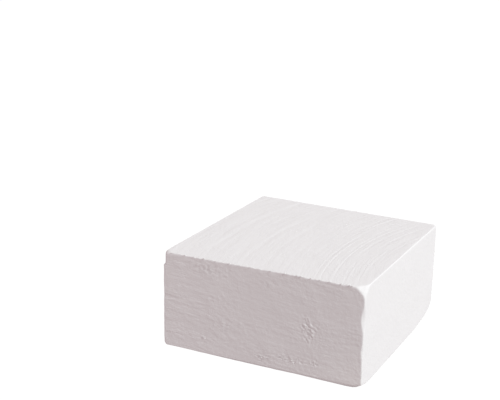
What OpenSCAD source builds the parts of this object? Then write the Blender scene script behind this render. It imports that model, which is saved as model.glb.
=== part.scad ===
// Gymnastics chalk block: one pressed and sawn block of magnesium carbonate,
// with the crumbs and flakes of the same chalk that still cling to it.
// Frame: origin at the centre of the underside, +X to the right along the
// front face, +Y to the back, +Z up. Millimetres.

/* [Block] */
// Width along X
block_w = 60.4; // [50:0.1:75]
// Depth along Y
block_d = 60.6; // [50:0.1:75]
// Height along Z, at the middle of the top
block_h = 28.8; // [20:0.1:40]

/* [Out of square] */
// Turn of the sawn front face about Z, degrees
front_turn = 1.1; // [-2:0.1:2]
// Turn of the back face about Z, degrees
back_turn = -1; // [-2:0.1:2]
// Turn of the right face about Z, degrees
right_turn = -0.3; // [-2:0.1:2]
// Turn of the left face about Z, degrees
left_turn = 0.6; // [-2:0.1:2]
// Slope of the top, up towards the right, degrees
top_rise_right = 0.6; // [0:0.1:1.5]
// Slope of the top, up towards the front, degrees
top_rise_front = 0.6; // [0:0.1:1.5]

/* [Wear] */
// Width of the bevel along the crisp sawn edges
crisp_edge = 0.2; // [0.1:0.05:0.8]
// Width of the bevel along the worn edges
worn_edge = 0.45; // [0.2:0.05:1.2]
// Width of the bevel along the softest upright edge, at the back right
soft_edge = 0.7; // [0.4:0.05:2]
// Radius of the shallow scoops worn out of the front right edge
scoop_radius = 12; // [6:0.5:16]
// Height of the scar at the top of the front left edge
scar_height = 4.4; // [2:0.1:8]

/* [Loose chalk] */
// Size of all the edge crumbs, as a share of their usual size
crumb_scale = 1; // [0.6:0.05:1.3]
// Thickness of the lifted flakes
flake_thickness = 0.24; // [0.15:0.01:0.35]
// How far the flakes tilt out of the front face, degrees
flake_lift = 25; // [15:1:40]

/* [Hidden] */

chalk_white = [0.93, 0.92, 0.93];
crumb_white = [0.97, 0.96, 0.97];
flake_white = [0.88, 0.86, 0.87];

// Larger than the block in every direction
reach_all = 2 * max(block_w, block_d, block_h);

// A face is a point on it and its outward normal
front = [[0, -block_d / 2, 0], [sin(front_turn), -cos(front_turn), 0]];
back = [[0, block_d / 2, 0], [-sin(back_turn), cos(back_turn), 0]];
right = [[block_w / 2, 0, 0], [cos(right_turn), -sin(right_turn), 0]];
left = [[-block_w / 2, 0, 0], [-cos(left_turn), sin(left_turn), 0]];
top = [[0, 0, block_h], [-tan(top_rise_right), tan(top_rise_front), 1]];
base = [[0, 0, 0], [0, 0, -1]];

// Corners of the sawn block, before any wear
front_left_top = meet(front, left, top);
front_right_top = meet(front, right, top);
back_left_top = meet(back, left, top);
back_right_top = meet(back, right, top);
front_left_base = meet(front, left, base);
front_right_base = meet(front, right, base);
back_left_base = meet(back, left, base);
back_right_base = meet(back, right, base);

// Every edge of the block: its two faces and the width of its bevel
edges = [
    [front, top, crisp_edge], [right, top, crisp_edge],
    [back, top, crisp_edge], [left, top, worn_edge],
    [front, left, worn_edge], [front, right, crisp_edge],
    [back, left, worn_edge], [back, right, soft_edge],
    [front, base, crisp_edge], [right, base, crisp_edge],
    [back, base, worn_edge], [left, base, crisp_edge]
];

// Broken corners: the corner, the way it points, and how far the break runs
// from it along X, Y and Z. The back right foot is broken in three facets.
chips = [
    [front_right_top, [1, -1, 1], [2.6, 2.6, 2.8]],
    [front_left_top, [-1, -1, 1], [1.6, 2, 1.4]],
    [back_left_top, [-1, 1, 1], [0.7, 0.7, 0.5]],
    [back_right_top, [1, 1, 1], [1.2, 1.2, 1]],
    [front_left_base, [-1, -1, -1], [1, 1, 1.2]],
    [front_right_base, [1, -1, -1], [2.2, 5.2, 1.2]],
    [front_right_base, [1, -1, -1], [7.1, 0.4, 7.9]],
    [back_left_base, [-1, 1, -1], [2, 1.6, 1.8]],
    [back_right_base, [1, 1, -1], [9, 18.3, 1.8]],
    [back_right_base, [1, 1, -1], [7, 9.5, 3.3]],
    [back_right_base, [1, 1, -1], [4.5, 4.3, 4.7]]
];

// Scoops down the front right edge: height and depth
scoops = [[20.4, 0.6], [11, 0.3]];

// The scar's reach from the front left edge, along X and along Y
scar_reach = [0.8, 1.3];

// Crumbs along the front top edge: place along X and diameter
crumbs = [
    [-27.6, 0.45], [-23.4, 0.55], [-20.6, 0.4], [-17.5, 0.55], [-13.6, 0.45],
    [-9.5, 0.55], [-6.5, 0.5], [-3.2, 0.6], [3, 0.65], [7.2, 0.7],
    [10.8, 0.65], [11.9, 0.6], [14.8, 0.55], [17.4, 0.4], [20.2, 0.5],
    [23.5, 0.6], [25.9, 0.65], [26.7, 0.5]
];

// Flakes on the front face: place along X, height, length and slant
flakes = [
    [14, 14.9, 1.6, 43], [15.5, 15.7, 1.2, 56], [14.6, 17, 1, 62],
    [15.9, 12.8, 1.5, 37], [13.6, 12.3, 1.1, 55], [17.4, 15.3, 0.9, 50],
    [0.9, 2.9, 1.2, 20], [8, 4.3, 1.1, -12], [10.2, 3.6, 1.3, 8],
    [12.5, 5.3, 1, 24], [16.9, 4.8, 1, 32], [-17.3, 4.8, 1.1, 15]
];

// How far a crumb's middle stands off the edge
crumb_offset = 0.06;

// The point where three faces meet
function meet(a, b, c) =
    (dot_face(a) * cross(b[1], c[1]) + dot_face(b) * cross(c[1], a[1])
        + dot_face(c) * cross(a[1], b[1])) / (a[1] * cross(b[1], c[1]));

// Distance of a face from the origin, times the length of its normal
function dot_face(face) = face[0] * face[1];

// A vector at length one
function unit(v) = v / norm(v);

// An upright plane across the block at x, and a level plane at z
function plane_x(x) = [[x, 0, 0], [1, 0, 0]];
function plane_z(z) = [[0, 0, z], [0, 0, 1]];

// Everything on the outer side of a plane
module beyond(point, normal) {
    tilt = acos(unit(normal).z);
    turn = atan2(normal.y, normal.x);
    translate(point)
        rotate([0, tilt, turn])
            translate([-reach_all, -reach_all, 0])
                cube([2 * reach_all, 2 * reach_all, reach_all]);
}

// Takes the edge between two faces down to a flat of the given width
module edge_bevel(face_a, face_b, width) {
    out = unit(face_a[1]) + unit(face_b[1]);
    along = cross(face_a[1], face_b[1]);
    point = meet(face_a, face_b, [[0, 0, block_h / 2], along]);
    beyond(point - unit(out) * width / 2, out);
}

// Breaks a corner off along one flat plane
module corner_chip(corner, side, run) {
    normal = [side.x / run.x, side.y / run.y, side.z / run.z];
    beyond(corner - [side.x * run.x, 0, 0], normal);
}

// A round-bottomed scoop in the front right edge
module edge_scoop(height, depth) {
    out = unit(front[1]) + unit(right[1]);
    point = meet(front, right, plane_z(height));
    translate(point + unit(out) * (scoop_radius - depth))
        sphere(r = scoop_radius, $fn = 64);
}

// The sliver lost from the top of the front left edge
module edge_scar() {
    foot = front_left_top - [0, 0, scar_height];
    translate(foot)
        linear_extrude(height = 2 * scar_height)
            polygon([
                [2 * scar_reach.x, -scar_reach.y],
                [-scar_reach.x, 2 * scar_reach.y],
                [-scar_reach.x, -scar_reach.y]
            ]);
}

// The block before the small breaks: six faces and their bevels
module sawn_block() {
    difference() {
        translate([-reach_all / 2, -reach_all / 2, 0])
            cube([reach_all, reach_all, reach_all]);
        for (face = [front, back, right, left, top])
            beyond(face[0], face[1]);
        for (edge = edges)
            edge_bevel(edge[0], edge[1], edge[2]);
    }
}

module block_body() {
    difference() {
        sawn_block();
        for (chip = chips)
            corner_chip(chip[0], chip[1], chip[2]);
        for (scoop = scoops)
            edge_scoop(scoop[0], scoop[1]);
        edge_scar();
    }
}

// One crumb, standing on the front top edge
module crumb(x, size) {
    point = meet(front, top, plane_x(x));
    translate(point + [0, -crumb_offset, crumb_offset])
        sphere(d = size * crumb_scale, $fn = 32);
}

// One flake, lifted out of the front face at a slant
module flake(x, z, size, slant) {
    point = meet(front, plane_x(x), plane_z(z));
    translate(point)
        rotate([0, slant, 0])
            rotate([90 - flake_lift, 0, 0])
                cube([size, size / 2, flake_thickness], center = true);
}

module chalk_block() {
    color(chalk_white)
        block_body();
}

module edge_crumbs() {
    color(crumb_white)
        difference() {
            for (entry = crumbs)
                crumb(entry[0], entry[1]);
            block_body();
        }
}

module face_flakes() {
    color(flake_white)
        difference() {
            for (entry = flakes)
                flake(entry[0], entry[1], entry[2], entry[3]);
            block_body();
        }
}

chalk_block();
edge_crumbs();
face_flakes();
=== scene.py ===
"""Looks of the gymnastics chalk block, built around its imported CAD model.

The CAD block is replaced by a dense mesh of the same solid: its flat facets are read
from the frame, rounded where the chalk has worn, and cut by saw marks, gouges and pits.
The crumbs and flakes stand where their CAD solids stand. Shapes are worked out in
millimetres, in the frame's own axes, and made in metres.
"""

import math

import bmesh
import bpy
import numpy as np
from mathutils import Matrix, Vector, noise


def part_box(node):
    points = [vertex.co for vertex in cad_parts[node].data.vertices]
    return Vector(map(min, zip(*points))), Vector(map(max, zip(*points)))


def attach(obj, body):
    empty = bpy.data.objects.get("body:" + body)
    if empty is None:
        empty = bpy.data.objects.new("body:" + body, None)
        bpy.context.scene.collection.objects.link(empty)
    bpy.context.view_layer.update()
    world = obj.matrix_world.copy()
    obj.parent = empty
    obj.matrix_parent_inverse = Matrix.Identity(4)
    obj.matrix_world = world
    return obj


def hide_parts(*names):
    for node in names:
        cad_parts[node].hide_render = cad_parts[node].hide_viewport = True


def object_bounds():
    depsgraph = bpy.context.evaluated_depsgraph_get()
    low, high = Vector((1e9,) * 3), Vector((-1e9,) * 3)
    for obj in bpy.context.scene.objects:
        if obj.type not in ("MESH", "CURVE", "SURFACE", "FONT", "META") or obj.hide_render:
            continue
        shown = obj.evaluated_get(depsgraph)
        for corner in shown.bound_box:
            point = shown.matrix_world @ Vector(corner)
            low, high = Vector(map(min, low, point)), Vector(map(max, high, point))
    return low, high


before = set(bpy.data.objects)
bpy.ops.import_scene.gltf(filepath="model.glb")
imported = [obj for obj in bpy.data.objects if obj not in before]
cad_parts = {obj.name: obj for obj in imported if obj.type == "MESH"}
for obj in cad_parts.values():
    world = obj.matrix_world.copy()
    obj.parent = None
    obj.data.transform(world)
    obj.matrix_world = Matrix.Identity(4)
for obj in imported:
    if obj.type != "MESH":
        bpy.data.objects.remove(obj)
cad_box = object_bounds()

MM = 0.001
cad_low, cad_high = (np.array(p) / MM for p in cad_box)

# ---------------------------------------------------------------- block shape
# How softly two facets run into each other
EDGE_SOFTNESS = 0.06
# Corners that are worn rounder: the three faces, extra softness, and how far it reaches
ROUND_CORNERS = [
    (("front", "right", "top"), 0.15, 3.0),
    (("front", "left", "top"), 0.12, 2.4),
]
# Over what distance one face's marks give way to the next face's
FACE_BLEND = 0.2
# Depth of the core that the surface is searched for outward from, how far that search
# goes, as a share of the way to the box, and how often it halves what is left
CORE_DEPTH = 7.0
SEARCH_REACH = 1.1
SEARCH_STEPS = 24
# Cells of the mesh along X, Y and Z; X and Y are multiples of UNDERSIDE_STEP
CELLS = (184, 140, 104)
# The flat underside has one cell for this many of the others, each way
UNDERSIDE_STEP = 4
# Where the mesh is finer along each axis: middle, spread and gain
FINE_SPOTS = (
    [(18.0, 9.0, 0.9), (14.8, 2.6, 1.0)],
    [],
    [(14.3, 3.5, 1.2), (3.8, 1.8, 0.8)],
)
# The mesh is finer at both ends of each axis too: spread and gain
FINE_END = (1.0, 3.0)
# Samples along an axis when its lines are spaced
SPACING_SAMPLES = 4001

# Scoops worn out of the front right edge, as in the CAD: height, depth, radius
SCOOPS = [(20.4, 0.6, 12.0), (11.0, 0.3, 12.0)]
# Scar at the top of the front left edge, as in the CAD: height, reach X, reach Y
SCAR = (4.4, 0.8, 1.3)
# Slope of the distance above the scar's foot: below 1, the foot is rounded more widely
SCAR_FOOT = 0.6

# Unit vectors out of the six faces
OUTWARD = {
    "front": (0, -1, 0), "back": (0, 1, 0), "right": (1, 0, 0),
    "left": (-1, 0, 0), "top": (0, 0, 1), "base": (0, 0, -1),
}
# A facet belongs to a face when the cosine between their normals is above this
SAME_FACE = 0.97
# Triangles are on the same facet when the cosine between their normals is above the
# first and their offsets are closer than the second, in millimetres
SAME_FACET = (0.9998, 0.03)
# Triangles are left out when twice their area is below this, in square millimetres
SMALLEST_FACET = 1e-4
# A facet has the whole solid behind it when no corner stands out of it this far
FLAT_ENOUGH = 0.02

# ------------------------------------------------------------------ saw marks
# The saw cut the top in rings about a far centre to the right. A ring is named
# by the X at which it passes the centre's own Y.
TOP_SAW = (101.5, -5.7)
# Streaks between the rings: strength, size across, length and seed
TOP_STREAKS = [(0.042, 0.75, 16.0, 3), (0.044, 1.9, 30.0, 8)]
# How high the burr beside a ring stands, as a share of the ring's depth, and how far
# from the ring it stands, in widths of the ring
TOP_BURR = (0.6, 1.5)
# Unevenness of the top: height and size
TOP_UNEVEN = [(0.018, 1.1), (0.06, 14)]
# How much deeper the marks in the top get, as a share, for each millimetre backward
TOP_DEEPER_BEHIND = 0.014
# How much the streaks between the rings fade, as a share, for each millimetre to the right
TOP_STREAKS_FADE = 0.016
# Rings that show: place, depth, width, and the Y between which each one shows
TOP_RINGS = [
    (12.5, 0.055, 0.26, -31, 9), (13.9, 0.060, 0.28, -31, 4),
    (17.2, 0.060, 0.26, -31, 29), (20.4, 0.070, 0.26, -31, -11),
    (21.5, 0.058, 0.24, -31, -13), (22.3, 0.062, 0.26, -31, -15),
    (23.9, 0.048, 0.28, -31, 3), (25.0, 0.044, 0.28, -31, 0),
    (-20.7, 0.048, 0.38, -31, -12), (-18.0, 0.040, 0.38, -31, -7),
    (-14.8, 0.036, 0.40, -20, 21), (-9.2, 0.032, 0.40, -26, 10),
    (-2.7, 0.032, 0.38, -28, 5), (-0.5, 0.032, 0.38, -29, 4),
    (-23.4, 0.036, 0.30, -12, 31), (-26.0, 0.034, 0.30, -20, 31),
    (-11.6, 0.034, 0.30, 6, 31), (-6.4, 0.034, 0.30, 2, 31), (2.6, 0.034, 0.30, 8, 31),
    (8.6, 0.040, 0.28, 2, 31), (10.4, 0.036, 0.28, 8, 31), (15.4, 0.040, 0.28, 10, 31),
    (19.2, 0.044, 0.28, -4, 30), (22.0, 0.036, 0.28, 4, 26), (26.6, 0.034, 0.28, -10, 20),
    (0.6, 0.028, 0.38, -28, 0), (5.0, 0.026, 0.38, -10, 12),
]

# Faint saw streaks of each upright face: centre of the arcs along the face and
# up, strength, and where along the face they are strongest and how far they reach.
# Along the face is X on the front and back, and Y on the sides.
SIDE_SAWS = {
    "front": [(-30, -77, 0.050, -26, 18), (30, 283, 0.030, 14, 26)],
    "back": [(28, -84, 0.040, 16, 22), (-40, 240, 0.034, -14, 24)],
    "right": [(70, 133, 0.020, 0, 40)],
    "left": [(-52, 120, 0.036, -6, 30)],
}
# Each set of streaks is drawn twice: share of its strength, size across, length, seed
SIDE_STREAKS = [(1.0, 0.8, 4.5, 0), (0.6, 1.7, 10.0, 5)]
# Unevenness of the upright faces: height, size and seed
SIDE_UNEVEN = [(0.028, 0.8, 0), (0.06, 11, 4)]

# Crumbled patches of each upright face: place along the face, height, reach
# along, reach up, and usual depth
PATCHES = {
    "front": [
        (14.3, 14.4, 2.2, 3.6, 0.08), (1.0, 2.9, 2.6, 1.3, 0.17),
        (9.0, 4.2, 4.0, 1.3, 0.14), (16.9, 4.8, 1.2, 1.1, 0.12),
        (-17.3, 4.7, 1.0, 1.4, 0.12), (-16.0, 26.0, 6.5, 1.6, 0.15),
        (2.0, 25.2, 2.8, 1.3, 0.13), (-15.2, 17.1, 1.2, 1.0, 0.09),
        (-11.0, 10.0, 1.8, 1.5, 0.09), (-8.0, 8.0, 8.0, 5.0, 0.05),
    ],
    "back": [
        (-12.0, 16.0, 2.6, 3.0, 0.18), (14.0, 5.0, 5.0, 1.5, 0.14),
        (18.0, 23.0, 5.0, 1.8, 0.12), (-24.0, 6.0, 2.0, 3.0, 0.12),
    ],
    "right": [
        (1.0, 21.0, 1.5, 0.9, 0.09), (10.0, 20.0, 1.2, 2.2, 0.09),
        (22.0, 9.0, 2.5, 3.0, 0.05),
    ],
    "left": [
        (-8.0, 12.0, 2.0, 3.2, 0.16), (16.0, 6.0, 5.0, 1.6, 0.13),
        (4.0, 23.5, 5.0, 1.5, 0.10),
    ],
}

# Crumbled chalk in the patches: its depth as a share of the patch's usual depth,
# the share and size of its dents, and the share and size of its grains
PATCH_CRUMBLE = (2.6, 0.3, 0.8, 0.7, 0.48)

# Strokes of the gouge and of the scuff near the top left of the front face: place
# along X, height, length, width, slant below the horizontal in degrees, and depth
# (negative stands proud)
STROKES = [
    (13.2, 14.6, 2.6, 0.15, 46, 0.13), (13.8, 15.0, 2.6, 0.15, 44, -0.10),
    (14.5, 15.3, 2.4, 0.15, 50, 0.11), (15.2, 15.6, 1.8, 0.15, 54, -0.09),
    (15.7, 15.9, 1.5, 0.15, 58, 0.08), (14.2, 17.0, 1.5, 0.15, 62, 0.10),
    (14.8, 16.9, 1.3, 0.15, 60, -0.08), (13.5, 16.9, 1.2, 0.15, 55, 0.08),
    (15.0, 13.9, 1.7, 0.15, 48, 0.13), (15.6, 14.0, 1.5, 0.15, 46, -0.11),
    (15.2, 12.6, 2.0, 0.15, 40, 0.13), (15.8, 12.9, 1.9, 0.15, 38, -0.11),
    (16.3, 12.5, 1.3, 0.15, 46, 0.10), (14.2, 13.0, 1.4, 0.15, 52, 0.11),
    (13.6, 12.2, 1.5, 0.15, 56, -0.09), (14.1, 11.1, 2.2, 0.15, 55, 0.13),
    (14.8, 11.1, 1.8, 0.15, 50, -0.10), (15.4, 10.6, 1.3, 0.15, 52, 0.08),
    (12.5, 13.5, 1.2, 0.15, 66, 0.09), (17.1, 15.2, 1.1, 0.15, 52, 0.07),
    (16.6, 14.0, 1.2, 0.15, 48, 0.09), (11.2, 15.8, 0.9, 0.15, 42, 0.06),
    (13.1, 17.9, 1.1, 0.15, 56, 0.07), (17.5, 13.2, 0.9, 0.15, 50, 0.06),
    (-20.6, 26.4, 1.2, 0.17, 50, 0.06), (-19.2, 26.2, 1.6, 0.17, 58, 0.07),
    (-17.9, 25.9, 1.8, 0.17, 60, 0.08), (-17.1, 25.2, 1.6, 0.17, 54, -0.06),
    (-16.0, 25.5, 2.0, 0.17, 52, 0.08), (-15.0, 24.6, 1.8, 0.17, 56, 0.07),
    (-13.9, 25.4, 1.6, 0.17, 60, -0.06), (-12.8, 24.8, 1.7, 0.17, 54, 0.07),
    (-11.4, 24.9, 1.3, 0.17, 62, 0.06), (-18.4, 23.8, 1.6, 0.17, 50, 0.05),
]
# How far a stroke would bow aside one whole length from its middle, as a share of its
# length; its ends, half a length away, bow by a quarter of that
STROKE_BOW = 0.12

# Hollows of the pressed underside: depth and size
BASE_HOLLOWS = (0.05, 3.5)
# Crumbled edges and broken corners: height and size of the grains, depth and size of
# the dents, and how far the whole is sunk
BROKEN = (0.10, 1.5, 0.10, 0.9, 0.02)
# How far from its centre a dent reaches, as a share of its cell
DENT_REACH = 0.62

# Fine lines that the saw drew, one set to an entry: the face, the centre of the arcs,
# the way they run, how strong they are, and their middle and reach along that way
SAW_LINES = [
    ("top", (101.5, -5.7, 0), (0, 1, 0), 0.95, 0, 200),
    ("front", (-30, 0, -77), (1, 0, 0), 0.75, -28, 22),
    ("front", (30, 0, 283), (1, 0, 0), 0.40, 14, 40),
    ("back", (28, 0, -84), (1, 0, 0), 0.75, 20, 24),
    ("back", (-40, 0, 240), (1, 0, 0), 0.40, -14, 40),
    ("right", (0, 70, 133), (0, 1, 0), 0.40, 0, 60),
    ("left", (0, -52, 120), (0, 1, 0), 0.60, -6, 40),
]
# Their usual spacing, length and depth, and their width as a share of the spacing
SAW_LINE_SPACING = 1.1
SAW_LINE_LENGTH = 9.0
SAW_LINE_DEPTH = 0.022
SAW_LINE_WIDTH = 0.06
# The saw lines show where the cosine between the surface's normal and the face's goes
# from the first of these, not at all, to the second, fully
SAW_LINE_FACING = (0.85, 0.97)

# Ragged lip that the saw left along the top of the front face: how far its teeth
# stand up, how far to either side of the edge it reaches, the width of a tooth along
# the edge, and its size across the edge
LIP = (0.30, 0.28, 0.55, 4.0)

# Flakes: how much of the CAD flake's length, breadth and thickness each one fills,
# and how far it is sunk into the face
FLAKE_SHAPE = (0.80, 0.55, 0.45)
FLAKE_SUNK = 0.10

# How much of the CAD crumb's width, depth and height each crumb fills
CRUMB_SHAPE = (0.50, 0.45, 0.62)
# How rough crumbs and flakes are, and how fine that roughness is
CRUMB_ROUGHNESS = 0.32
FLAKE_ROUGHNESS = 0.30
LUMP_DETAIL = 1.1
# Seed of the first crumb and of the first flake, and how often the ball that each
# lump starts as is divided
CRUMB_SEED = 1
FLAKE_SEED = 40
LUMP_DIVISIONS = 3

# --------------------------------------------------------------------- colour
# Sawn chalk; the flat spalls, painted whiter: partly fresh chalk, partly painted light that stands
# in for light bounced up from the floor; crumbs and flakes
CHALK = (0.895, 0.868, 0.872, 1.0)
SPALL_PAINTED_LIGHT = (0.980, 0.960, 0.950, 1.0)
# Crumbs a little whiter than the block: painted light that lifts the shade on their fronts
CRUMB_PAINTED_WHITER = (0.900, 0.878, 0.882, 1.0)
# Flakes a little darker than the block: painted shade that tones down the key light they catch
FLAKE_PAINTED_DARKER = (0.890, 0.862, 0.866, 1.0)
# Chalk is dull and hardly glossy
CHALK_ROUGHNESS = 0.95
CHALK_SPECULAR = 0.15
# Darkest and lightest mottle, as shares of the colour
MOTTLE_TINT = (0.965, 1.03)
# Noise of the mottle: scale, detail, roughness and share
MOTTLE = [(130.0, 3.0, 0.5, 0.55), (1800.0, 2.0, 0.7, 0.45)]
# Patches where the coarse grain is stronger: scale and detail of their noise, the
# noise at which they start and are full, what they add, and what is there without them
GRAIN_PATCHES = (150.0, 2.0, 0.42, 0.62, 0.7, 0.3)
# Powdery grain, coarse and fine: scale, detail and roughness of the noise, and the
# distance of the bump in metres
COARSE_GRAIN = (1300.0, 2.0, 0.6, 0.00012)
FINE_GRAIN = (3200.0, 2.0, 0.6, 0.00004)
GRAIN_STRENGTH = 0.6

# ----------------------------------------------------- floor, light and camera
FLOOR_SIZE = 6.0
# The floor's own colour, and how brightly it shines to look plain white
FLOOR_BASE = (0.1, 0.1, 0.1, 1)
FLOOR_GLOW = 0.96
# Lights: name, azimuth, elevation, distance, size, power and colour
LIGHTS = [
    ("key", 80.5, 40.0, 4.0, 0.9, 123.5, (0.875, 0.985, 0.98)),
    ("fill", -50, 10, 0.25, 0.12, 0.047, (1.0, 0.884, 0.894)),
    ("rear", -155, 3, 4.0, 0.4, 45.0, (0.94, 0.985, 0.98)),
]
AMBIENT_COLOUR = (1.0, 0.884, 0.894, 1)
AMBIENT_STRENGTH = 0.46
# The camera's azimuth, elevation and roll in degrees, its distance and target in
# metres, and its lens, sensor width and nearest visible distance
CAMERA_ANGLES = (26.76, 18.14, 1.03)
CAMERA_DISTANCE = 0.4162
CAMERA_TARGET = (-0.05024, 0.06210, 0.01436)
CAMERA_LENS = 82.7
CAMERA_SENSOR = 36.0
CAMERA_CLIP = 0.01


# ============================================================ reading the CAD
def triangles_of(cad):
    """Corner points of a CAD node's triangles, in millimetres: (triangle, corner, axis)."""
    mesh = cad.data
    mesh.calc_loop_triangles()
    points = np.array([v.co for v in mesh.vertices]) / MM
    index = np.array([t.vertices for t in mesh.loop_triangles])
    return points[index]


def flat_facets(cad):
    """Normals and offsets of the flat facets that have the whole solid behind them."""
    corners = triangles_of(cad)
    cross = np.cross(corners[:, 1] - corners[:, 0], corners[:, 2] - corners[:, 0])
    area = np.linalg.norm(cross, axis=1)
    everything = corners.reshape(-1, 3)
    same_normal, same_offset = SAME_FACET
    normals = []
    offsets = []
    for i in np.argsort(-area):
        if area[i] < SMALLEST_FACET:
            break
        normal = cross[i] / area[i]
        offset = normal @ corners[i].mean(0)
        known = any(
            normal @ n > same_normal and abs(offset - d) < same_offset
            for n, d in zip(normals, offsets)
        )
        if not known and (everything @ normal).max() < offset + FLAT_ENOUGH:
            normals.append(normal)
            offsets.append(offset)
    return np.array(normals), np.array(offsets)


def main_facet(normals, face):
    """Index of the facet that lies closest to one of the six faces."""
    return int(np.argmax(normals @ np.array(OUTWARD[face], float)))


def separate_solids(cad):
    """Points of each separate solid in a CAD node, in millimetres."""
    corners = np.round(triangles_of(cad), 4)
    points, index = np.unique(corners.reshape(-1, 3), axis=0, return_inverse=True)
    index = index.reshape(-1, 3)
    label = np.arange(len(points))
    while True:
        lowest = label[index].min(1)
        new = label.copy()
        for corner in range(3):
            np.minimum.at(new, index[:, corner], lowest)
        if (new == label).all():
            break
        label = new
    return [points[label == name] for name in np.unique(label)]


# ========================================================== shape of the block
class BlockShape:
    """The block as a smooth solid: inside is negative, in millimetres."""

    def __init__(self, cad):
        self.normals, self.offsets = flat_facets(cad)
        self.low, self.high = (np.array(p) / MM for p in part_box(cad.name))
        self.scoops = [self.scoop(*entry) for entry in SCOOPS]
        self.scar_normal, self.scar_offset, self.scar_foot = self.scar(*SCAR)

    def meet(self, face_a, face_b, normal, offset):
        """The point where two faces meet a plane."""
        rows = [main_facet(self.normals, face_a), main_facet(self.normals, face_b)]
        matrix = np.vstack([self.normals[rows], normal])
        return np.linalg.solve(matrix, np.append(self.offsets[rows], offset))

    def scoop(self, height, depth, radius):
        """Centre and radius of a ball that wears the front right edge hollow."""
        edge = self.meet("front", "right", (0, 0, 1), height)
        out = np.array([1.0, -1.0, 0.0]) / math.sqrt(2)
        return edge + out * (radius - depth), radius

    def scar(self, height, reach_x, reach_y):
        """Plane and lowest level of the sliver lost from the front left edge."""
        top = self.high[2] - height
        edge = self.meet("front", "left", (0, 0, 1), top)
        normal = np.array([-1 / reach_x, -1 / reach_y, 0.0])
        normal /= np.linalg.norm(normal)
        return normal, normal @ (edge + [reach_x, 0, 0]), top

    def distances(self, points):
        """How far the points stand out of each facet."""
        return points @ self.normals.T - self.offsets

    def field(self, points):
        """Signed distance to the worn block."""
        terms = [self.distances(points)]
        for centre, radius in self.scoops:
            terms.append(radius - np.linalg.norm(points - centre, axis=1)[:, None])
        beyond_scar = points @ self.scar_normal - self.scar_offset
        above_foot = (points[:, 2] - self.scar_foot) * SCAR_FOOT
        terms.append(np.minimum(beyond_scar, above_foot)[:, None])
        terms = np.hstack(terms)
        softness = self.softness(points)
        highest = terms.max(1, keepdims=True)
        spread = np.exp((terms - highest) / softness[:, None]).sum(1)
        return highest[:, 0] + softness * np.log(spread)

    def softness(self, points):
        """How softly the facets run into each other at the points."""
        softness = np.full(len(points), EDGE_SOFTNESS)
        for (face_a, face_b, face_c), extra, reach in ROUND_CORNERS:
            third = main_facet(self.normals, face_c)
            corner = self.meet(face_a, face_b, self.normals[third], self.offsets[third])
            softness += extra * bump_at(np.linalg.norm(points - corner, axis=1), 0, reach)
        return softness

    def near_edge(self, points, face_a, face_b, reach):
        """1 on the edge between two faces, falling smoothly to 0 away from it."""
        rows = [main_facet(self.normals, face_a), main_facet(self.normals, face_b)]
        away = self.distances(points)[:, rows] / reach
        return np.exp(-(away ** 2).sum(1))

    def surface(self, points):
        """Moves points of the block's box onto the worn surface."""
        core = np.clip(points, self.low + CORE_DEPTH, self.high - CORE_DEPTH)
        ray = points - core
        near = np.zeros(len(points))
        far = np.full(len(points), SEARCH_REACH)
        for _ in range(SEARCH_STEPS):
            middle = (near + far) / 2
            inside = self.field(core + ray * middle[:, None]) < 0
            near = np.where(inside, middle, near)
            far = np.where(inside, far, middle)
        return core + ray * near[:, None]

    def weights(self, points):
        """Share of each face, and of the broken facets between them, at the points.

        Also gives the surface's direction, and the share of the flat spalls in the faces.
        """
        terms = self.distances(points)
        share = np.exp((terms - terms.max(1, keepdims=True)) / FACE_BLEND)
        share /= share.sum(1, keepdims=True)
        normals = share @ self.normals
        normals /= np.linalg.norm(normals, axis=1, keepdims=True)
        faces = {}
        spalled = np.zeros(len(points))
        for face, outward in OUTWARD.items():
            belongs = self.normals @ np.array(outward, float) > SAME_FACE
            faces[face] = share[:, belongs].sum(1)
            spalled += faces[face] - share[:, main_facet(self.normals, face)]
        faces["broken"] = np.clip(1 - sum(faces.values()), 0, 1)
        return faces, normals, np.clip(spalled, 0, 1)


def spaced_lines(low, high, cells, fine_spots):
    """Line places from low to high, closer together at both ends and at the fine spots."""
    spread, gain = FINE_END
    spots = [(low, spread, gain), (high, spread, gain)] + fine_spots
    x = np.linspace(low, high, SPACING_SAMPLES)
    density = 1 + sum(g * np.exp(-(((x - at) / s) ** 2)) for at, s, g in spots)
    count = np.concatenate([[0], np.cumsum(density[1:] + density[:-1])])
    return np.interp(np.linspace(0, count[-1], cells + 1), count, x)


def quads(ids, outward):
    """Four-sided faces over a grid of vertex numbers, turned to face outward."""
    ring = [ids[:-1, :-1], ids[1:, :-1], ids[1:, 1:], ids[:-1, 1:]]
    faces = np.stack([r.ravel() for r in ring], axis=1)
    return (faces if outward else faces[:, ::-1]).tolist()


def coarse_faces(ids, step):
    """Faces of the underside: large cells, with every fine vertex kept at the rim."""
    last_i, last_j = (n - 1 for n in ids.shape)
    faces = []
    for i in range(0, last_i, step):
        for j in range(0, last_j, step):
            loop = []
            for k in range(step):
                if k == 0 or j == 0:
                    loop.append((i + k, j))
            for k in range(step):
                if k == 0 or i + step == last_i:
                    loop.append((i + step, j + k))
            for k in range(step):
                if k == 0 or j + step == last_j:
                    loop.append((i + step - k, j + step))
            for k in range(step):
                if k == 0 or i == 0:
                    loop.append((i, j + step - k))
            faces.append([int(ids[p]) for p in reversed(loop)])
    return faces


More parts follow.
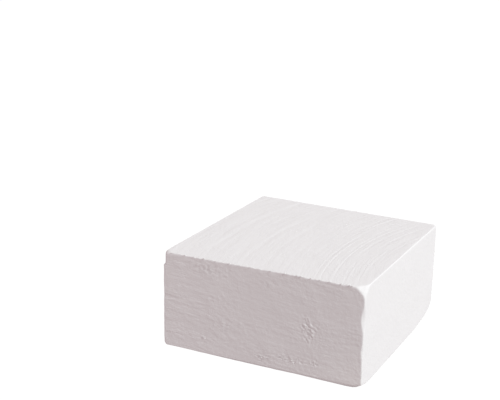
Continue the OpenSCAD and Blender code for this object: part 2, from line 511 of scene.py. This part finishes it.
def box_shell(lines):
    """Vertices and faces of a box whose surface follows the given lines."""
    shape = tuple(len(line) for line in lines)
    used = np.zeros(shape, bool)
    used[[0, -1], :, :] = True
    used[:, [0, -1], :] = True
    used[:, :, [0, -1]] = True
    used[1:-1, 1:-1, 0] = False
    used[::UNDERSIDE_STEP, ::UNDERSIDE_STEP, 0] = True
    ids = np.full(shape, -1)
    ids[used] = np.arange(used.sum())
    index = np.argwhere(used)
    points = np.stack([lines[a][index[:, a]] for a in range(3)], axis=1)
    faces = quads(ids[:, :, -1], True)
    faces += quads(ids[:, 0, :], True) + quads(ids[:, -1, :], False)
    faces += quads(ids[-1, :, :], True) + quads(ids[0, :, :], False)
    faces += coarse_faces(ids[:, :, 0], UNDERSIDE_STEP)
    return points, faces


# ===================================================================== relief
def clouds(points, octaves=3):
    """Smooth noise of several sizes at each point, about -1 to 1."""
    return np.array([noise.fractal(Vector(p), 1.0, 2.0, octaves) for p in points])


def dents(points):
    """Rounded dents, one in each unit cell: 1 at the bottom of a dent, 0 outside."""
    nearest = np.array([noise.voronoi(Vector(p))[0][0] for p in points])
    return np.clip(1 - nearest / DENT_REACH, 0, 1) ** 1.5


def streaks(across, along, size, length, seed):
    """Noise drawn out along a direction, as a saw draws it."""
    flat = np.full(len(across), float(seed))
    return clouds(np.stack([across / size, along / length, flat], axis=1), 2)


def bump_at(x, middle, reach):
    """1 at the middle, falling smoothly to 0."""
    return np.exp(-(((x - middle) / reach) ** 2))


def between(x, low, high, soft=1.5):
    """1 between low and high, with soft ends."""
    rise = 1 / (1 + np.exp(-(x - low) / soft))
    fall = 1 / (1 + np.exp((x - high) / soft))
    return rise * fall


def top_relief(points):
    """Height of the sawn top above its plane."""
    x, y = points[:, 0], points[:, 1]
    distance = np.hypot(x - TOP_SAW[0], y - TOP_SAW[1])
    ring = TOP_SAW[0] - distance
    height = sum(
        strength * streaks(ring, y, size, length, seed)
        for strength, size, length, seed in TOP_STREAKS
    )
    height *= 1 - TOP_STREAKS_FADE * x
    burr_height, burr_place = TOP_BURR
    for place, depth, width, low, high in TOP_RINGS:
        groove = bump_at(ring, place, width)
        burr = bump_at(ring, place - burr_place * width, width)
        height += depth * (burr_height * burr - groove) * between(y, low, high)
    height *= 1 + TOP_DEEPER_BEHIND * y
    for rise, size in TOP_UNEVEN:
        height += rise * clouds(points / size, 2)
    return height


def side_relief(points, face):
    """Height of an upright face above its plane: streaks, grain and crumbled patches."""
    along = points[:, 0] if face in ("front", "back") else points[:, 1]
    z = points[:, 2]
    height = sum(rise * clouds(points / size + seed, 2) for rise, size, seed in SIDE_UNEVEN)
    for number, (u, up, strength, middle, reach) in enumerate(SIDE_SAWS[face]):
        radius = np.hypot(along - u, z - up)
        mask = strength * bump_at(along, middle, reach)
        for share, size, length, seed in SIDE_STREAKS:
            height += share * mask * streaks(radius, along, size, length, number + seed)
    gain, dent_share, dent_size, grain_share, grain_size = PATCH_CRUMBLE
    crumble = dent_share * dents(points / dent_size)
    crumble += grain_share * clouds(points / grain_size + 9, 1)
    for u, up, reach, rise, depth in PATCHES[face]:
        mask = bump_at(along, u, reach) * bump_at(z, up, rise)
        height -= gain * depth * mask * crumble
    return height


def stroke_relief(points):
    """Strokes of the gouge and the scuff in the front face."""
    height = np.zeros(len(points))
    for u, up, length, width, slant, depth in STROKES:
        angle = math.radians(slant)
        dx, dz = points[:, 0] - u, points[:, 2] - up
        along = dx * math.cos(angle) - dz * math.sin(angle)
        across = dx * math.sin(angle) + dz * math.cos(angle)
        bow = across + STROKE_BOW * (along / length) ** 2 * length
        ends = np.clip(1 - np.abs(2 * along / length) ** 3, 0, 1)
        height -= depth * ends * bump_at(bow, 0, width)
    return height


def base_relief(points):
    """Height of the pressed underside above its plane; it never reaches below it."""
    depth, size = BASE_HOLLOWS
    return -depth * np.abs(clouds(points / size, 3))


def broken_relief(points):
    """Height of the crumbled edges and broken corners above their facets."""
    grain_height, grain_size, dent_depth, dent_size, sunk = BROKEN
    grain = grain_height * clouds(points / grain_size + 5, 3)
    return grain - dent_depth * dents(points / dent_size + 2) - sunk


def lip_rise(shape, points):
    """How far the ragged lip stands up along the top of the front face."""
    rise, reach, width, length = LIP
    edge = shape.near_edge(points, "front", "top", reach)
    return rise * edge * streaks(points[:, 0], points[:, 1], width, length, 7)


def carved(shape, points):
    """The worn surface with all its marks cut into it, and where it has spalled."""
    faces, normals, spalled = shape.weights(points)
    height = faces["broken"] * broken_relief(points)
    reliefs = {
        "top": top_relief,
        "base": base_relief,
        "front": lambda p: side_relief(p, "front") + stroke_relief(p),
        "back": lambda p: side_relief(p, "back"),
        "right": lambda p: side_relief(p, "right"),
        "left": lambda p: side_relief(p, "left"),
    }
    for face, relief in reliefs.items():
        here = faces[face] > 0.01
        height[here] += faces[face][here] * relief(points[here])
    moved = points + normals * height[:, None]
    moved[:, 2] += lip_rise(shape, points)
    return np.clip(moved, cad_low, cad_high), spalled


# ===================================================================== pieces
def new_piece(name, points, faces):
    """A smooth-shaded mesh object from points in millimetres."""
    mesh = bpy.data.meshes.new(name)
    mesh.from_pydata((np.asarray(points) * MM).tolist(), [], faces)
    mesh.polygons.foreach_set("use_smooth", [True] * len(mesh.polygons))
    mesh.validate()
    mesh.update()
    piece = bpy.data.objects.new(name, mesh)
    bpy.context.scene.collection.objects.link(piece)
    return piece


def make_block():
    """The chalk block itself."""
    shape = BlockShape(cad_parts["chalk_block"])
    lines = [
        spaced_lines(shape.low[a], shape.high[a], CELLS[a], FINE_SPOTS[a])
        for a in range(3)
    ]
    points, faces = box_shell(lines)
    points, spalled = carved(shape, shape.surface(points))
    block = new_piece("sawn_chalk_block", points, faces)
    attribute = block.data.attributes.new("spalled", "FLOAT", "POINT")
    attribute.data.foreach_set("value", spalled)
    return block


def lump(axes, centre, roughness, seed):
    """Points and faces of a rough ball stretched along three axes."""
    bm = bmesh.new()
    bmesh.ops.create_icosphere(bm, subdivisions=LUMP_DIVISIONS, radius=1.0)
    ball = np.array([v.co for v in bm.verts])
    faces = [[v.index for v in f.verts] for f in bm.faces]
    bm.free()
    shift = np.array([seed * 7.3, seed * 3.1, seed * 5.7])
    swell = 1 + roughness * clouds(ball * LUMP_DETAIL + shift, 3)
    points = centre + (ball * swell[:, None]) @ axes
    return np.clip(points, cad_low, cad_high), faces


def join_lumps(lumps):
    """One list of points and one of faces from several lumps."""
    all_points = []
    all_faces = []
    start = 0
    for points, faces in lumps:
        all_points.append(points)
        all_faces += [[start + v for v in face] for face in faces]
        start += len(points)
    return np.vstack(all_points), all_faces


def make_crumbs():
    """The crumbs that cling to the top front edge, one on each CAD crumb."""
    lumps = []
    solids = separate_solids(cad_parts["edge_crumbs"])
    for seed, solid in enumerate(solids, CRUMB_SEED):
        low, high = solid.min(0), solid.max(0)
        size = (high - low) / 2
        axes = np.diag(size * CRUMB_SHAPE)
        lumps.append(lump(axes, (low + high) / 2, CRUMB_ROUGHNESS, seed))
    return new_piece("clinging_crumbs", *join_lumps(lumps))


def make_flakes():
    """The flakes lifted out of the front face, one on each CAD flake."""
    lumps = []
    solids = separate_solids(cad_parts["face_flakes"])
    for seed, solid in enumerate(solids, FLAKE_SEED):
        centre = solid.mean(0)
        _, _, axes = np.linalg.svd(solid - centre)
        reach = np.abs((solid - centre) @ axes.T).max(0) * FLAKE_SHAPE
        sunk = centre + [0, FLAKE_SUNK, 0]
        lumps.append(lump(axes * reach[:, None], sunk, FLAKE_ROUGHNESS, seed))
    return new_piece("lifted_flakes", *join_lumps(lumps))


# ================================================================== materials
def add_node(tree, kind, inputs=None, **settings):
    """A shader node with its settings and plain input values."""
    node = tree.nodes.new(kind)
    for name, value in settings.items():
        setattr(node, name, value)
    for name, value in (inputs or {}).items():
        node.inputs[name].default_value = value
    return node


def add_noise(tree, place, scale, detail, roughness=0.5):
    """Noise texture over a place in the block's own axes."""
    inputs = {"Scale": scale, "Detail": detail, "Roughness": roughness}
    node = add_node(tree, "ShaderNodeTexNoise", inputs)
    tree.links.new(place, node.inputs["Vector"])
    return node.outputs["Fac"]


def add_math(tree, operation, a, b):
    """One arithmetic step between sockets or numbers."""
    node = add_node(tree, "ShaderNodeMath", operation=operation)
    for socket, value in zip(node.inputs, (a, b)):
        if isinstance(value, (int, float)):
            socket.default_value = value
        else:
            tree.links.new(value, socket)
    return node.outputs[0]


def add_vector(tree, operation, a, b=None):
    """One vector step between sockets or triples of numbers; a plain number where it makes one."""
    node = add_node(tree, "ShaderNodeVectorMath", operation=operation)
    for socket, value in zip(node.inputs, (a, b)):
        if isinstance(value, (list, tuple)):
            socket.default_value = value
        elif value is not None:
            tree.links.new(value, socket)
    return node.outputs["Value" if operation in ("LENGTH", "DOT_PRODUCT") else "Vector"]


def add_range(tree, value, low, high):
    """A value taken smoothly from 0 at low to 1 at high."""
    inputs = {"From Min": low, "From Max": high}
    node = add_node(tree, "ShaderNodeMapRange", inputs, interpolation_type="SMOOTHSTEP")
    tree.links.new(value, node.inputs["Value"])
    return node.outputs["Result"]


def add_bump(tree, height, distance, strength, normal=None):
    """Bump from a height, on top of an earlier normal."""
    inputs = {"Distance": distance, "Strength": strength}
    node = add_node(tree, "ShaderNodeBump", inputs)
    tree.links.new(height, node.inputs["Height"])
    if normal is not None:
        tree.links.new(normal, node.inputs["Normal"])
    return node.outputs["Normal"]


def add_saw_lines(tree, place):
    """Height of the fine lines that the saw drew: 0 in a line, 1 between the lines."""
    normal = add_node(tree, "ShaderNodeNewGeometry").outputs["Normal"]
    total = 0.0
    for face, centre, along, strength, middle, reach in SAW_LINES:
        facing = add_vector(tree, "DOT_PRODUCT", normal, OUTWARD[face])
        mask = add_math(tree, "MULTIPLY", add_range(tree, facing, *SAW_LINE_FACING), strength)
        flat = [0.0 if outward else 1.0 for outward in OUTWARD[face]]
        offset = add_vector(tree, "SUBTRACT", place, [c * MM for c in centre])
        in_face = add_vector(tree, "MULTIPLY", offset, flat)
        radius = add_vector(tree, "LENGTH", in_face)
        run = add_vector(tree, "DOT_PRODUCT", place, along)
        spot = add_node(tree, "ShaderNodeCombineXYZ", {"Z": centre[0]})
        across = add_math(tree, "MULTIPLY", radius, 1 / (SAW_LINE_SPACING * MM))
        length = add_math(tree, "MULTIPLY", run, 1 / (SAW_LINE_LENGTH * MM))
        tree.links.new(across, spot.inputs["X"])
        tree.links.new(length, spot.inputs["Y"])
        waves = add_noise(tree, spot.outputs[0], 1.0, 1.0)
        line = add_math(tree, "ABSOLUTE", add_math(tree, "SUBTRACT", waves, 0.5), 0.0)
        height = add_math(tree, "SUBTRACT", add_range(tree, line, 0.0, SAW_LINE_WIDTH), 1.0)
        away = add_math(tree, "ABSOLUTE", add_math(tree, "SUBTRACT", run, middle * MM), 0.0)
        share = add_math(tree, "MULTIPLY", mask, add_range(tree, away, reach * MM, 0.0))
        total = add_math(tree, "ADD", add_math(tree, "MULTIPLY", height, share), total)
    return total


def add_mottle(tree, place, colour):
    """A colour that is mottled and speckled a little darker and lighter."""
    darker, lighter = MOTTLE_TINT
    tint = add_node(tree, "ShaderNodeMixRGB", {"Fac": 0.5}, blend_type="MIX")
    tint.inputs["Color1"].default_value = [c * darker for c in colour[:3]] + [1.0]
    tint.inputs["Color2"].default_value = [min(c * lighter, 1.0) for c in colour[:3]] + [1.0]
    layers = []
    for scale, detail, roughness, share in MOTTLE:
        layer = add_noise(tree, place, scale, detail, roughness)
        layers.append(add_math(tree, "MULTIPLY", layer, share))
    tree.links.new(add_math(tree, "ADD", *layers), tint.inputs["Fac"])
    return tint.outputs["Color"]


def add_spall_painted_light(tree, colour):
    """The colour, painted whiter where the surface has spalled: fresh chalk, and painted light
    that stands in for light bounced up from the floor.
    """
    spalled = add_node(tree, "ShaderNodeAttribute", attribute_name="spalled")
    spall_light = add_node(tree, "ShaderNodeMixRGB", {"Color2": SPALL_PAINTED_LIGHT}, blend_type="MIX")
    tree.links.new(spalled.outputs["Fac"], spall_light.inputs["Fac"])
    tree.links.new(colour, spall_light.inputs["Color1"])
    return spall_light.outputs["Color"]


def add_grain(tree, place):
    """Normal of the powdery grain; the coarse grain is stronger in patches."""
    scale, detail, start, full, gain, least = GRAIN_PATCHES
    patches = add_range(tree, add_noise(tree, place, scale, detail), start, full)
    uneven = add_math(tree, "ADD", add_math(tree, "MULTIPLY", patches, gain), least)
    *noise_shape, distance = COARSE_GRAIN
    coarse = add_math(tree, "MULTIPLY", add_noise(tree, place, *noise_shape), uneven)
    normal = add_bump(tree, coarse, distance, GRAIN_STRENGTH)
    *noise_shape, distance = FINE_GRAIN
    fine = add_noise(tree, place, *noise_shape)
    return add_bump(tree, fine, distance, GRAIN_STRENGTH, normal)


def chalk_material(name, colour, sawn=False):
    """Dry, powdery chalk: mottled white, fine grain, hardly any gloss, and if it is sawn,
    saw lines and the spalls painted whiter, as fresh chalk and as painted bounce light."""
    material = bpy.data.materials.new(name)
    material.use_nodes = True
    tree = material.node_tree
    shader = tree.nodes["Principled BSDF"]
    shader.inputs["Roughness"].default_value = CHALK_ROUGHNESS
    shader.inputs["Specular IOR Level"].default_value = CHALK_SPECULAR
    place = add_node(tree, "ShaderNodeTexCoord").outputs["Object"]
    shown = add_mottle(tree, place, colour)
    normal = add_grain(tree, place)
    if sawn:
        # Spalls painted whiter: fresh chalk, and painted light in place of the floor's bounce
        shown = add_spall_painted_light(tree, shown)
        normal = add_bump(tree, add_saw_lines(tree, place), SAW_LINE_DEPTH * MM, 1.0, normal)
    tree.links.new(shown, shader.inputs["Base Color"])
    tree.links.new(normal, shader.inputs["Normal"])
    return material


def dress(piece, material, node):
    """Gives a piece its material and its body, and hides the CAD node it stands for."""
    piece.data.materials.append(material)
    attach(piece, "root")
    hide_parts(node)


# ======================================================= floor, light, camera
def make_floor():
    """A plain white floor that does not light the block."""
    bpy.ops.mesh.primitive_plane_add(size=FLOOR_SIZE, location=(0, 0, 0))
    floor = bpy.context.object
    floor.name = "floor"
    material = bpy.data.materials.new("floor")
    material.use_nodes = True
    shader = material.node_tree.nodes["Principled BSDF"]
    shader.inputs["Base Color"].default_value = FLOOR_BASE
    shader.inputs["Roughness"].default_value = 1.0
    shader.inputs["Specular IOR Level"].default_value = 0.0
    shader.inputs["Emission Color"].default_value = (1, 1, 1, 1)
    shader.inputs["Emission Strength"].default_value = FLOOR_GLOW
    floor.data.materials.append(material)
    floor.visible_diffuse = False


def area_light(name, azimuth, elevation, distance, size, power, colour):
    """A square soft light that looks at the block; azimuth 0 is in front, 90 at the right."""
    a, e = math.radians(azimuth), math.radians(elevation)
    back = Vector((math.sin(a) * math.cos(e), -math.cos(a) * math.cos(e), math.sin(e)))
    data = bpy.data.lights.new(name, "AREA")
    data.size = size
    data.energy = power
    data.color = colour
    light = bpy.data.objects.new(name, data)
    light.location = back * distance
    light.rotation_euler = back.to_track_quat("Z", "Y").to_euler()
    bpy.context.scene.collection.objects.link(light)


def make_light():
    """Soft studio light: a broad key from the right and above, and a pinkish ambient."""
    for light in LIGHTS:
        area_light(*light)
    world = bpy.data.worlds.new("studio")
    world.use_nodes = True
    background = world.node_tree.nodes["Background"]
    background.inputs["Color"].default_value = AMBIENT_COLOUR
    background.inputs["Strength"].default_value = AMBIENT_STRENGTH
    bpy.context.scene.world = world
    bpy.context.scene.view_settings.view_transform = "Standard"


def make_camera():
    """The camera at the viewing angle of the photograph."""
    azimuth, elevation, roll = (math.radians(d) for d in CAMERA_ANGLES)
    target = Vector(CAMERA_TARGET)
    back = Vector((
        math.sin(azimuth) * math.cos(elevation),
        -math.cos(azimuth) * math.cos(elevation),
        math.sin(elevation),
    ))
    level = (-back).cross(Vector((0, 0, 1))).normalized()
    upright = level.cross(-back)
    right = level * math.cos(roll) + upright * math.sin(roll)
    up = upright * math.cos(roll) - level * math.sin(roll)
    data = bpy.data.cameras.new("camera")
    data.lens = CAMERA_LENS
    data.sensor_width = CAMERA_SENSOR
    data.clip_start = CAMERA_CLIP
    camera = bpy.data.objects.new("camera", data)
    turn = Matrix((right, up, back)).transposed()
    camera.matrix_world = Matrix.Translation(target + back * CAMERA_DISTANCE) @ turn.to_4x4()
    bpy.context.scene.collection.objects.link(camera)
    bpy.context.scene.camera = camera


make_camera()
make_light()
make_floor()
dress(make_block(), chalk_material("chalk", CHALK, sawn=True), "chalk_block")
dress(make_crumbs(), chalk_material("chalk_crumbs", CRUMB_PAINTED_WHITER), "edge_crumbs")
dress(make_flakes(), chalk_material("chalk_flakes", FLAKE_PAINTED_DARKER), "face_flakes")
